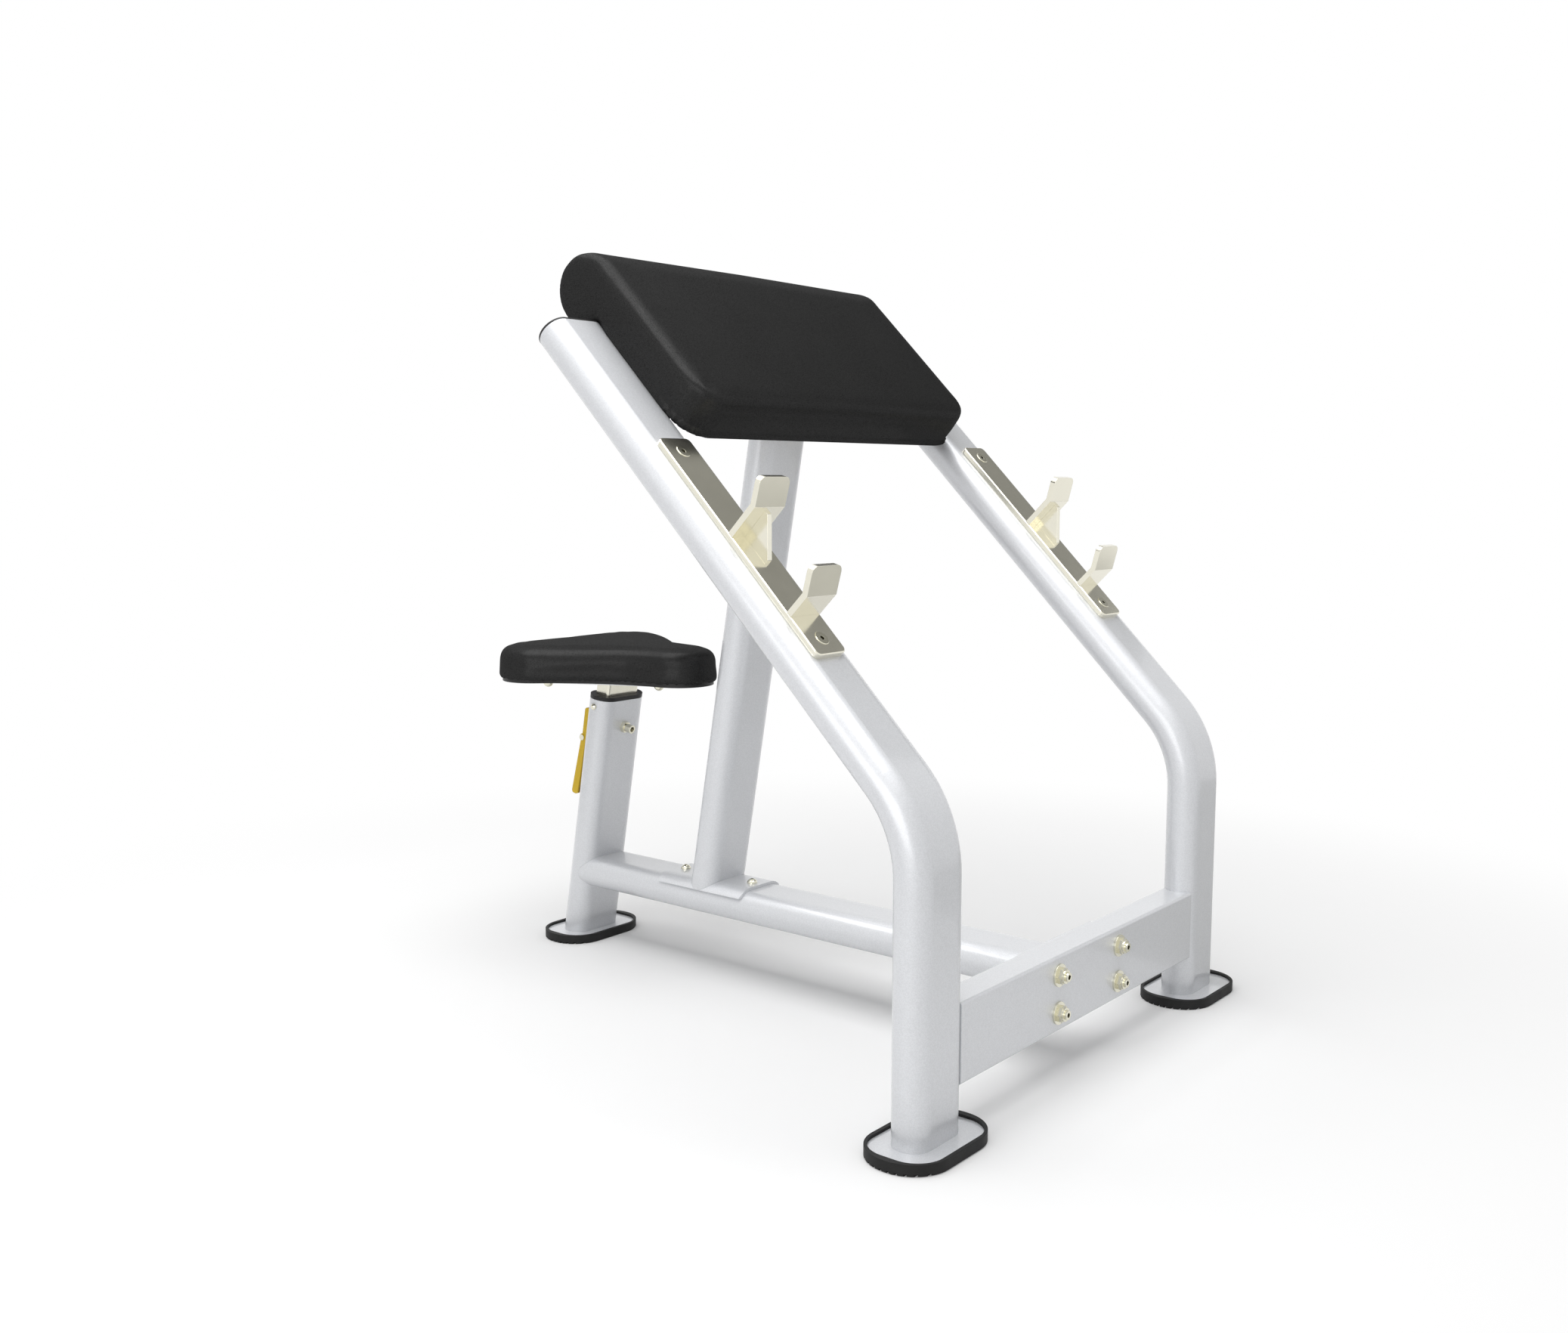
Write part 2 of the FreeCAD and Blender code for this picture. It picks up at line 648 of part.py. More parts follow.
def pad_section(x, low, inset, crown):
    """Side outline at one station: drawn in by the inset, raised on top by the crown."""
    r = roll_r - inset
    bottom = pad_under + inset * pad_under_share
    top = pad_top - inset + crown
    tuck = roll_s - math.sqrt(r ** 2 - (roll_n - bottom) ** 2)
    low_s = low + inset
    slant = math.sqrt(0.5)
    foot = pad_foot_round
    nose = pad_end_round
    angle = (math.pi + math.asin((roll_n - bottom) / r) + 1.5 * math.pi) / 2
    edge = [
        Part.makeLine(V(x, tuck, bottom), V(x, low_s + foot, bottom)),
        Part.Arc(V(x, low_s + foot, bottom), V(x, low_s + foot * (1 - slant), bottom + foot * (1 - slant)),
                 V(x, low_s, bottom + foot)).toShape(),
        Part.makeLine(V(x, low_s, bottom + foot), V(x, low_s, top - nose)),
        Part.Arc(V(x, low_s, top - nose), V(x, low_s + nose * (1 - slant), top - nose * (1 - slant)),
                 V(x, low_s + nose, top)).toShape(),
        Part.makeLine(V(x, low_s + nose, top), V(x, roll_s, top)),
        Part.Arc(V(x, roll_s, top), V(x, roll_s + r * slant, roll_n + r * slant + crown * slant),
                 V(x, roll_s + r, roll_n)).toShape(),
        Part.Arc(V(x, roll_s + r, roll_n), V(x, roll_s + r * slant, roll_n - r * slant),
                 V(x, roll_s, roll_n - r)).toShape(),
        Part.Arc(V(x, roll_s, roll_n - r), V(x, roll_s + r * math.cos(angle), roll_n + r * math.sin(angle)),
                 V(x, tuck, bottom)).toShape(),
    ]
    return Part.Wire(edge)


stations = []
for share in pad_corner_turn_shares:
    turn = share * math.pi / 2
    x = pad_w / 2 - pad_corner * (1 - math.sin(turn))
    low = pad_low + pad_corner * (1 - math.cos(turn))
    over = max(0, x - pad_w / 2 + pad_edge)
    inset = pad_edge - math.sqrt(pad_edge ** 2 - over ** 2)
    stations.append((x, low, inset))
sections = [pad_section(-x, low, inset, 0) for x, low, inset in reversed(stations)]
sections.append(pad_section(0, pad_low, 0, pad_crown))
sections += [pad_section(x, low, inset, 0) for x, low, inset in stations]
pad = Part.makeLoft(sections, True, True)
board_under = box_d / 2
board = rise(rectangle(board_w, board_high - board_low, board_corner), board_under, board_under + board_t)
board.translate(V(0, (board_low + board_high) / 2, 0))
pad = pad.cut(board)
for x, s in pad_bolt_places:
    board = board.cut(rod(pad_bolt_d, V(x, s, -overrun), V(x, s, board_under + pad_bolt_bite)))
pieces["arm_pad"] = put(pad.Solids[0], slope)
pieces["arm_pad_board"] = put(solids(board), slope)

pad_bolt_l = box_d + pad_washer_t + pad_bolt_bite
pad_bolt = hex_bar(pad_head_af, -pad_head_h, 0).fuse(Part.makeCylinder(pad_bolt_d / 2, pad_bolt_l))
pad_bolt = solids(pad_bolt)
pad_washer = Part.makeCylinder(pad_washer_d / 2, pad_washer_t)
pad_washer = pad_washer.cut(Part.makeCylinder(pad_bolt_d / 2 + hole_gap, pad_washer_t))
under_n = -box_d / 2 - pad_washer_t
pieces["pad_bolts"] = Part.makeCompound([put(stand(pad_bolt, V(x, s, under_n), UP), slope)
                                         for x, s in pad_bolt_places])
pieces["pad_washers"] = Part.makeCompound([put(stand(pad_washer, V(x, s, under_n), UP), slope)
                                           for x, s in pad_bolt_places])

# Seat sleeve: holes for the bush screw, the clamp screw and the lock pin
lock_t = sleeve_l - lock_down
clamp_t = sleeve_l - clamp_down
bush_t = sleeve_l - bush_screw_down
sleeve_tube = oval_tube(-overrun, sleeve_l)
bush_hole = rod(bush_screw_d + 2 * hole_gap, V(-tube_w, 0, bush_t), V(-seat_tube_w / 2 - seat_tube_wall, 0, bush_t))
clamp_hole = rod(clamp_d + 2 * hole_gap, V(0, -tube_d, clamp_t), V(0, 0, clamp_t))
lock_hole = rod(lock_pin_d + 2 * lock_run_gap, V(0, 0, lock_t), V(0, tube_d, lock_t))
pocket_b = seat_tube_d / 2 + slide_gap + lock_pocket_wall
lock_pocket = rod(guide_id, V(0, pocket_b, lock_t), V(0, tube_d, lock_t))
for hole in (bush_hole, clamp_hole, lock_pocket):
    sleeve_tube = sleeve_tube.cut(hole)
sleeve_tube = put(sleeve_tube, sleeve)
ground = box(-tube_w, tube_w, leg_y, leg_y + span, -span, plate_top)
pieces["seat_sleeve"] = solids(sleeve_tube.cut(ground))

bush = oval_bar(sleeve_l, sleeve_l + bush_flange).fuse(oval_bar(sleeve_l - bush_plug, sleeve_l, -tube_wall - plug_gap))
bush_way = rectangle(seat_tube_w + 2 * slide_gap, seat_tube_d + 2 * slide_gap, seat_tube_corner + slide_gap)
bush = bush.cut(rise(bush_way, 0, span))
for hole in (bush_hole, clamp_hole, lock_hole, lock_pocket):
    bush = bush.cut(hole)
pieces["sleeve_bush"] = put(solids(bush), sleeve)

bush_screw = dome(bush_screw_head_d, bush_screw_head_h).fuse(
    Part.makeCylinder(bush_screw_d / 2, bush_screw_l, V(0, 0, -bush_screw_l)))
pieces["bush_screw"] = put(stand(solids(bush_screw), V(-tube_w / 2, 0, bush_t), ACROSS * -1), sleeve)

clamp_nut = hex_bar(clamp_nut_af, 0, clamp_nut_h).cut(Part.makeCylinder(clamp_d / 2, clamp_nut_h))
pieces["clamp_nut"] = put(stand(clamp_nut, V(0, -tube_d / 2, clamp_t), BACK * -1), sleeve)
clamp_l = (tube_d - seat_tube_d) / 2 - clamp_clear
clamp_end = clamp_nut_h + clamp_head_h
clamp = Part.makeCylinder(clamp_d / 2, clamp_l + clamp_nut_h, V(0, 0, -clamp_l)).fuse(
    Part.makeCylinder(clamp_head_d / 2, clamp_head_h, V(0, 0, clamp_nut_h)))
clamp = clamp.cut(hex_bar(clamp_socket_af, clamp_end - clamp_socket_depth, clamp_end + overrun))
pieces["clamp_screw"] = put(stand(solids(clamp), V(0, -tube_d / 2, clamp_t), BACK * -1), sleeve)

# Seat tube with its row of lock holes, and the glide on its lower end
tube_low = sleeve_l - seat_tube_in
seat_tube = rise(rectangle(seat_tube_w, seat_tube_d, seat_tube_corner), tube_low, seat_h)
hollow = rectangle(seat_tube_w - 2 * seat_tube_wall, seat_tube_d - 2 * seat_tube_wall, seat_tube_corner - seat_tube_wall)
seat_tube = seat_tube.cut(rise(hollow, tube_low - overrun, seat_h + overrun))
for step in range(seat_steps + 1):
    t = lock_t - step * hole_pitch
    seat_tube = seat_tube.cut(rod(lock_pin_d + 2 * lock_hole_gap, V(0, 0, t), V(0, seat_tube_d, t)))
seat_tube = put(seat_tube, sleeve).cut(box(-span, span, leg_y, leg_y + span, seat_plate_z, span))
pieces["seat_tube"] = solids(seat_tube)

glide = oval_bar(tube_low - glide_floor, tube_low + glide_h - glide_floor, -tube_wall - glide_gap)
glide = glide.cut(rise(rectangle(seat_tube_w, seat_tube_d, seat_tube_corner), tube_low, tube_low + glide_h))
pieces["seat_tube_glide"] = put(solids(glide), sleeve)


# Seat outline: round nose, concave flanks, two rear lobes and a straight back
def seat_outline(inset, z):
    nose = V(0, seat_y - seat_nose_reach, z)
    lobe = V(seat_lobe_x, seat_y + seat_lobe_back, z)
    run = lobe - nose
    a = seat_nose_r + seat_waist_r
    b = seat_lobe_r + seat_waist_r
    along = (a ** 2 - b ** 2 + run.Length ** 2) / (2 * run.Length)
    out = math.sqrt(a ** 2 - along ** 2)
    run.normalize()
    waist = nose + run * along + V(run.y, -run.x, 0) * out
    to_nose = (nose - waist).normalize()
    to_lobe = (lobe - waist).normalize()
    nose_r = seat_nose_r - inset
    lobe_r = seat_lobe_r - inset
    p_nose = nose - to_nose * nose_r
    p_lobe = lobe - to_lobe * lobe_r
    p_waist = waist + (to_nose + to_lobe).normalize() * (seat_waist_r + inset)
    p_back = lobe + BACK * lobe_r
    p_out = lobe + (BACK - to_lobe).normalize() * lobe_r
    tip = nose - BACK * nose_r

    def flip(p):
        return V(-p.x, p.y, p.z)

    return Part.Wire([
        Part.makeLine(p_back, flip(p_back)),
        Part.Arc(flip(p_back), flip(p_out), flip(p_lobe)).toShape(),
        Part.Arc(flip(p_lobe), flip(p_waist), flip(p_nose)).toShape(),
        Part.Arc(flip(p_nose), tip, p_nose).toShape(),
        Part.Arc(p_nose, p_waist, p_lobe).toShape(),
        Part.Arc(p_lobe, p_out, p_back).toShape(),
    ])


cushion_low = seat_bottom + seat_board_show
cushion_t = seat_h - cushion_low
levels = zip(seat_height_shares, seat_inset_shares)
cushion = Part.makeLoft([seat_outline(seat_round * inset, cushion_low + cushion_t * rise_share)
                         for rise_share, inset in levels], True, True)
seat_board = slab(seat_outline(seat_board_inset, seat_bottom), UP * seat_board_t)
pieces["seat_pad"] = cushion.cut(seat_board).Solids[0]
seat_bolt_places = [(0, seat_y - seat_bolt_front), (seat_bolt_x, seat_y + seat_bolt_back),
                    (-seat_bolt_x, seat_y + seat_bolt_back)]
fan = [V(x, y, seat_plate_z) for x, y in seat_bolt_places]
hull_edges = []
for i in range(len(fan)):
    here = fan[i]
    ahead = fan[(i + 1) % len(fan)]
    side = (ahead - here).normalize()
    side = V(side.y, -side.x, 0) * seat_plate_round
    last = (here - fan[i - 1]).normalize()
    last = V(last.y, -last.x, 0) * seat_plate_round
    hull_edges.append(Part.Arc(here + last, here + (last + side).normalize() * seat_plate_round, here + side).toShape())
    hull_edges.append(Part.makeLine(here + side, ahead + side))
seat_plate = slab(Part.Wire(hull_edges), UP * seat_plate_t)
seat_bolt_l = seat_plate_t + seat_bolt_bite
for x, y in seat_bolt_places:
    seat_plate = seat_plate.cut(rod(seat_bolt_d + 2 * hole_gap, V(x, y, 0), V(x, y, seat_h)))
    seat_board = seat_board.cut(rod(seat_bolt_d, V(x, y, 0), V(x, y, seat_plate_z + seat_bolt_l)))
pieces["seat_plate"] = solids(seat_plate)
pieces["seat_board"] = solids(seat_board)
seat_bolt = dome(seat_head_d, seat_head_h).fuse(Part.makeCylinder(seat_bolt_d / 2, seat_bolt_l, V(0, 0, -seat_bolt_l)))
pieces["seat_bolts"] = Part.makeCompound([stand(solids(seat_bolt), V(x, y, seat_plate_z), UP * -1)
                                          for x, y in seat_bolt_places])

# Lock pin housing on the sleeve's back, with the pin and its spring inside
back_face = tube_d / 2
guide = Part.makeCylinder(guide_od / 2, guide_l).cut(Part.makeCylinder(guide_id / 2, guide_l - guide_cap))
guide = guide.cut(Part.makeCylinder(lock_rod_d / 2 + lock_run_gap, guide_l + overrun))
pieces["lock_pin_guide"] = put(stand(guide, V(0, back_face, lock_t), BACK), sleeve)

pivot_b = back_face + pivot_out
pivot_t = sleeve_l - pivot_down
web_back = pivot_b + lever_back
fork_b = pivot_b - fork_in
tip_b = seat_tube_d / 2 + lock_clear
collar_b = back_face - lock_collar_in
slot_r = lock_rod_d / 2 + fork_slot_gap
pin = rod(lock_pin_d, V(0, tip_b, lock_t), V(0, collar_b, lock_t))
pin = pin.fuse(rod(lock_collar_d, V(0, collar_b, lock_t), V(0, collar_b + lock_collar_t, lock_t)))
ball_b = fork_b + fork_t + fork_ball_gap + math.sqrt((lock_ball_d / 2) ** 2 - slot_r ** 2)
pin = pin.fuse(rod(lock_rod_d, V(0, collar_b, lock_t), V(0, ball_b, lock_t)))
pin = pin.fuse(Part.makeSphere(lock_ball_d / 2, V(0, ball_b, lock_t)))
pieces["lock_pin"] = put(solids(pin), sleeve)


def tangent_arc(start, tangent, end):
    """Arc from a start point along its tangent to an end point."""
    chord = end - start
    half = chord.Length / 2
    angle = tangent.getAngle(chord)
    across = (tangent - chord.normalize() * tangent.dot(chord)).normalize()
    return Part.Arc(start, (start + end) * 0.5 + across * half * math.tan(angle / 2), end).toShape()


def biarc(p, t, q, u):
    """Two tangent arcs from point p along t to point q along u."""
    v = q - p
    both = t + u
    c = 1 - t.dot(u)
    d = (math.sqrt(v.dot(both) ** 2 + 2 * c * v.dot(v)) - v.dot(both)) / (2 * c)
    joint = (p + t * d + q - u * d) * 0.5
    along = (joint - p - t * d).normalize()
    return [tangent_arc(p, t, joint), tangent_arc(joint, along, q)]


spring_low = collar_b + lock_collar_t + spring_wire / 2 + spring_seat_gap
spring_high = back_face + guide_l - guide_cap - spring_wire / 2 - spring_seat_gap
spring_lead = (spring_high - spring_low) / (2 * math.pi * spring_turns)
spring_r = spring_mean_d / 2


def coil_point(turn):
    return V(spring_r * math.cos(turn), spring_low + spring_lead * turn, lock_t + spring_r * math.sin(turn))


def coil_tangent(turn):
    return V(-spring_r * math.sin(turn), spring_lead, spring_r * math.cos(turn)).normalize()


path = []
for quarter in range(4 * spring_turns):
    start = quarter * math.pi / 2
    end = start + math.pi / 2
    path += biarc(coil_point(start), coil_tangent(start), coil_point(end), coil_tangent(end))
wire_section = Part.Wire(Part.makeCircle(spring_wire / 2, coil_point(0), coil_tangent(0)))
spring = Part.Wire(path).makePipeShell([wire_section], True, False)
print("least gap between spring turns: %.2f mm" % (2 * math.pi * spring_lead - spring_wire))
pieces["lock_spring"] = put(spring.Solids[0], sleeve)

# Lever bracket: two ears on a base plate, with the pivot pin and its clip
ear_out = lever_w / 2 - lever_sheet - ear_side_gap
base = box(-ear_out, ear_out, back_face, back_face + bracket_t, pivot_t - bracket_h / 2, pivot_t + bracket_h / 2)
bracket = base
for side in (-1, 1):
    x0 = min(side * ear_out, side * (ear_out - ear_t))
    taper = [(back_face, pivot_t - bracket_h / 2), (pivot_b, pivot_t - ear_round),
             (pivot_b, pivot_t + ear_round), (back_face, pivot_t + bracket_h / 2)]
    ear = slab(outline(taper, [0] * len(taper), upright), ACROSS * ear_t)
    ear = ear.fuse(Part.makeCylinder(ear_round, ear_t, V(0, pivot_b, pivot_t), ACROSS))
    ear.translate(V(x0, 0, 0))
    bracket = bracket.fuse(ear)
pivot_hole = rod(pivot_d + 2 * pivot_gap, V(-lever_w, pivot_b, pivot_t), V(lever_w, pivot_b, pivot_t))
pieces["lever_bracket"] = put(solids(bracket.cut(pivot_hole)), sleeve)

pin_face = lever_w / 2 + pivot_side_gap
pivot = rod(pivot_d, V(-pin_face, pivot_b, pivot_t), V(pin_face + clip_t + pivot_tail, pivot_b, pivot_t))
pivot = pivot.fuse(rod(pivot_head_d, V(-pin_face - pivot_head_t, pivot_b, pivot_t), V(-pin_face, pivot_b, pivot_t)))
pieces["pivot_pin"] = put(solids(pivot), sleeve)
clip = rod(clip_od, V(pin_face, pivot_b, pivot_t), V(pin_face + clip_t, pivot_b, pivot_t))
clip = clip.cut(rod(pivot_d, V(0, pivot_b, pivot_t), V(lever_w, pivot_b, pivot_t)))
mouth = pivot_d * clip_mouth_share
clip = clip.cut(box(0, lever_w, pivot_b, pivot_b + clip_od, pivot_t - mouth, pivot_t + mouth))
pieces["pivot_clip"] = put(solids(clip), sleeve)

# Hand lever: two channel arms, open towards the sleeve, about the pivot
kick = math.tan(math.radians(lever_kick))
lower_back = lever_back + lever_step


def channel(points, radii, inner_points):
    """Sheet channel of a side outline with an inner outline cut out between its flanges."""
    body = slab(outline(points, radii, upright), ACROSS * lever_w)
    body.translate(V(-lever_w / 2, pivot_b, pivot_t))
    gap = slab(outline(inner_points, [0] * len(inner_points), upright), ACROSS * (lever_w - 2 * lever_sheet))
    gap.translate(V(-lever_w / 2 + lever_sheet, pivot_b, pivot_t))
    return body.cut(gap)


open_side = lever_back - lever_depth - overrun
upper_arm = channel(
    [(lever_back - lever_depth, -lever_round), (lever_back, -lever_round), (lever_back, lever_up),
     (lever_back - lever_depth, lever_up)],
    [0, 0, lever_round, lever_round],
    [(open_side, -lever_round - overrun), (lever_back - lever_sheet, -lever_round - overrun),
     (lever_back - lever_sheet, lever_up - lever_sheet), (open_side, lever_up - lever_sheet)])
end_back = lower_back + lever_down * kick
lower_arm = channel(
    [(lower_back - lever_depth, 0), (end_back - lever_end_depth, -lever_down), (end_back, -lever_down), (lower_back, 0)],
    [0, lever_round, lever_round, 0],
    [(open_side, overrun), (open_side, -lever_down + lever_sheet), (end_back - lever_sheet, -lever_down + lever_sheet),
     (lower_back - lever_sheet, overrun)])
window = box(-lever_w / 2 + lever_sheet, lever_w / 2 - lever_sheet, 0, pivot_b + tube_d,
             pivot_t - lever_window / 2, pivot_t + lever_window / 2)
lever = upper_arm.fuse(lower_arm).cut(window)
for side in (-1, 1):
    x0 = min(side * lever_w / 2, side * (lever_w / 2 - lever_sheet))
    lever = lever.fuse(Part.makeCylinder(lever_boss_r, lever_sheet, V(x0, pivot_b, pivot_t), ACROSS))
ball_hole = rod(lever_ball_hole, V(0, ball_b, lock_t), V(0, web_back + overrun, lock_t))
lever = lever.cut(pivot_hole).cut(ball_hole)

# Fork plate between the upper arm's flanges, slotted for the pin's rod in front of its ball end
fork = box(-lever_w / 2 + lever_sheet, lever_w / 2 - lever_sheet, fork_b, fork_b + fork_t,
           lock_t - fork_h / 2, lock_t + fork_h / 2)
slot = rise(outline([(-slot_r, -slot_r - fork_slot_rise), (slot_r, -slot_r - fork_slot_rise),
                     (slot_r, slot_r + fork_slot_rise), (-slot_r, slot_r + fork_slot_rise)],
                    [slot_r - tolerance] * 4, flat), -overrun, overrun)
fork = fork.cut(stand(slot, V(0, fork_b + fork_t / 2, lock_t), BACK))
pieces["lever"] = put(solids(lever.fuse(fork)), sleeve)

os.makedirs("parts", exist_ok=True)
for name, shape in pieces.items():
    if not shape.isValid():
        raise ValueError(name + " is not a valid solid")
    shape.exportStep("parts/%s.step" % name)
print("%d parts written" % len(pieces))
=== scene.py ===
"""Looks of a preacher curl bench: silver paint, warm nickel, black vinyl pads and a plain white stage."""

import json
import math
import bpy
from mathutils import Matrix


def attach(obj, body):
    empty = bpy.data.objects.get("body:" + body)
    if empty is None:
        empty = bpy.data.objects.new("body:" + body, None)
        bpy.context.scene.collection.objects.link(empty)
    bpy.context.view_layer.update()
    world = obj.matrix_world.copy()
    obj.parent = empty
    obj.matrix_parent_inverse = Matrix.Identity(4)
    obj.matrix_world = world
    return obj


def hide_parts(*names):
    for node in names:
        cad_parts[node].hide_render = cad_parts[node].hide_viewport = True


bl_info = {
    "name": "Preacher curl bench",
    "version": (1, 0, 0),
    "blender": (4, 5, 0),
    "location": "View3D > Sidebar > Bench",
    "description": "Finishes and padding of a preacher curl bench on a plain stage",
    "category": "Object",
}

import bpy
from bpy.props import FloatProperty, FloatVectorProperty, PointerProperty
from mathutils import Matrix, Vector

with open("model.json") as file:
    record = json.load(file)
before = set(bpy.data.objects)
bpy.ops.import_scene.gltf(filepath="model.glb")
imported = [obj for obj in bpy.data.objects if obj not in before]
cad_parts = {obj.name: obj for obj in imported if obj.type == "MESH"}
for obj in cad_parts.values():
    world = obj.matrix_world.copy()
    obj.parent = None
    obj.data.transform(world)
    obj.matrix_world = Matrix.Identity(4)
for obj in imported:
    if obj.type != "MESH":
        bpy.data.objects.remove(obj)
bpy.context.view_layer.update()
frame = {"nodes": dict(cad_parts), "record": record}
slot_colours = {m["slot"]: m["base_color"] for m in frame["record"]["materials"]}

# Painted tubes and plates
tubes = ["left_leg", "right_leg", "cross_tube", "upper_cross_tube", "beam_tube", "beam_end_plate", "saddle_plate",
         "centre_post", "seat_sleeve", "left_foot_plate", "right_foot_plate", "rear_foot_plate"]
# Bar rack on each slope
rack = ["left_rack_plate", "right_rack_plate", "left_upper_hook", "right_upper_hook", "left_lower_hook",
        "right_lower_hook", "left_gusset", "right_gusset"]
# Bright fasteners
fasteners = ["beam_bolts", "beam_washers", "beam_nuts", "saddle_bolts", "saddle_nuts", "rack_screws", "bush_screw",
             "clamp_nut", "clamp_screw", "pivot_pin", "pivot_clip", "seat_bolts"]
# Plain zinc parts under the pads and inside the seat lock
zinc_parts = ["pad_bolts", "pad_washers", "seat_plate", "lock_pin", "lock_spring", "lock_pin_guide", "lever_bracket"]
rubbers = ["left_foot_rubber", "right_foot_rubber", "rear_foot_rubber"]
mouldings = ["left_leg_cap", "right_leg_cap", "sleeve_bush", "seat_tube_glide"]

# Share of a pad's length, from its lower end, in which its underside is flat
flat_share = 0.25
# Length over which a pad's pulled-out edge dies away before a roll
rim_fade = 0.03
# Heights above a pad's underside up to which its cover is held, and from which it is free
arm_held, arm_free = 0.018, 0.045
seat_held, seat_free = 0.009, 0.024
# How far the arm pad's lower edge is pulled out
arm_crisp = 0.0055
# Frames that a cover is filled for
fill_frames = 20
# Slope of the legs and arm pad, and lean of the seat's tube
slope_angle = math.radians(45)
lean_angle = math.radians(10)
# The slope's own axes: across the bench, up the slope and out of it
slope_turn = Matrix.Rotation(slope_angle, 4, "X")


class Wire:
    """A node's output that takes part in sums: each operator adds one Math node."""

    def __init__(self, board, socket):
        self.board = board
        self.socket = socket

    def sum(self, operation, first, second):
        return self.board.node("ShaderNodeMath", {"operation": operation}, {0: first, 1: second})

    def __add__(self, other):
        return self.sum("ADD", self, other)

    def __radd__(self, other):
        return self.sum("ADD", other, self)

    def __sub__(self, other):
        return self.sum("SUBTRACT", self, other)

    def __rsub__(self, other):
        return self.sum("SUBTRACT", other, self)

    def __mul__(self, other):
        return self.sum("MULTIPLY", self, other)

    def __rmul__(self, other):
        return self.sum("MULTIPLY", other, self)


class Board:
    """The node tree of one material or world."""

    def __init__(self, owner):
        self.owner = owner
        owner.use_nodes = True
        self.tree = owner.node_tree
        self.tree.nodes.clear()

    def node(self, kind, settings, sockets, output=0):
        """Adds a node of a type: its settings first, then the values or wires of its sockets."""
        made = self.tree.nodes.new(kind)
        for key, value in settings.items():
            setattr(made, key, value)
        for key, value in sockets.items():
            if isinstance(value, Wire):
                self.tree.links.new(value.socket, made.inputs[key])
            else:
                made.inputs[key].default_value = value
        return Wire(self, made.outputs[output]) if made.outputs else None

    def place(self, stretch=(1.0, 1.0, 1.0), turn=(0.0, 0.0, 0.0)):
        """Object coordinates, turned and stretched."""
        where = self.node("ShaderNodeTexCoord", {}, {}, "Object")
        return self.node("ShaderNodeMapping", {"vector_type": "TEXTURE"},
                         {"Vector": where, "Rotation": turn, "Scale": tuple(1.0 / s for s in stretch)})

    def noise(self, where, scale, detail=2.0, roughness=0.5):
        return self.node("ShaderNodeTexNoise", {}, {"Vector": where, "Scale": scale, "Detail": detail,
                                                    "Roughness": roughness})

    def between(self, share, low, high):
        """A number that goes from low to high as the share goes from 0 to 1."""
        return share * (high - low) + low

    def tint(self, share, first, second):
        """A colour between two others."""
        colours = {0: share, 6: first, 7: second}
        return self.node("ShaderNodeMix", {"data_type": "RGBA"}, colours, 2)

    def step(self, share, low, high):
        """A smooth step from 0 to 1 between two values."""
        return self.node("ShaderNodeMapRange", {"interpolation_type": "SMOOTHSTEP"},
                         {"Value": share, "From Min": low, "From Max": high})

    def seen(self):
        """1 for rays that show a surface to the camera, straight or through a mirror or glass; otherwise 0."""
        rays = [self.node("ShaderNodeLightPath", {}, {}, "Is %s Ray" % kind)
                for kind in ("Camera", "Glossy", "Transmission")]
        return self.step(rays[0] + rays[1] + rays[2], 0.0, 1.0)

    def finish(self, sockets):
        shader = self.node("ShaderNodeBsdfPrincipled", {}, sockets)
        self.node("ShaderNodeOutputMaterial", {}, {"Surface": shader})
        return self.owner


def shade(colour, share):
    """A colour made lighter or darker by a share."""
    return tuple(c * share for c in colour) + (1.0,)


def silver_paint(looks):
    """Gloss silver metallic paint with fine flake and a trace of orange peel."""
    b = Board(bpy.data.materials.new("silver_paint"))
    where = b.place()
    flake = b.node("ShaderNodeTexVoronoi", {}, {"Vector": where, "Scale": 900.0}, "Color")
    sparkle = b.node("ShaderNodeSeparateColor", {}, {"Color": flake})
    cloud = b.noise(where, 9.0, 3.0)
    peel = b.noise(where, 360.0, 1.0)
    tone = 0.7 * sparkle + 0.3 * cloud
    edge = b.node("ShaderNodeBevel", {"samples": 6}, {"Radius": looks.paint_round})
    normal = b.node("ShaderNodeBump", {}, {"Strength": 0.08, "Distance": 0.0005, "Height": peel + 0.7 * sparkle,
                                           "Normal": edge})
    return b.finish({
        "Base Color": b.tint(tone, shade(looks.paint, 0.97), shade(looks.paint, 1.13)),
        "Metallic": 0.4,
        "Roughness": b.between(cloud, 0.40, 0.48),
        "Coat Weight": 0.8,
        "Coat Roughness": 0.06,
        "Normal": normal,
    })


def warm_nickel(name, colour, rough, grain, turn, edge_round, bright):
    """Polished nickel with faint grinding lines along one way, and painted shade that darkens its sockets and
    hollows.
    """
    b = Board(bpy.data.materials.new(name))
    lines = b.noise(b.place((1.0, grain, 1.0), turn), 2400.0, 2.0)
    smear = b.noise(b.place(), 22.0, 3.0, 0.6)
    edge = b.node("ShaderNodeBevel", {"samples": 6}, {"Radius": edge_round})
    normal = b.node("ShaderNodeBump", {}, {"Strength": 0.04, "Distance": 0.0002, "Height": lines, "Normal": edge})
    # Painted shade: ambient occlusion darkens the plating's colour in sockets, holes and tight corners
    painted_shade_ao = b.node("ShaderNodeAmbientOcclusion", {"samples": 8, "only_local": True}, {"Distance": 0.006}, "AO")
    plating = b.tint(smear, shade(colour, bright), shade(colour, bright * 1.1))
    return b.finish({
        "Base Color": b.tint(b.step(painted_shade_ao, 0.25, 0.75), shade(colour, 0.35), plating),
        "Metallic": 1.0,
        "Roughness": b.between(0.6 * smear + 0.4 * lines, rough * 0.75, rough * 1.3),
        "Normal": normal,
    })


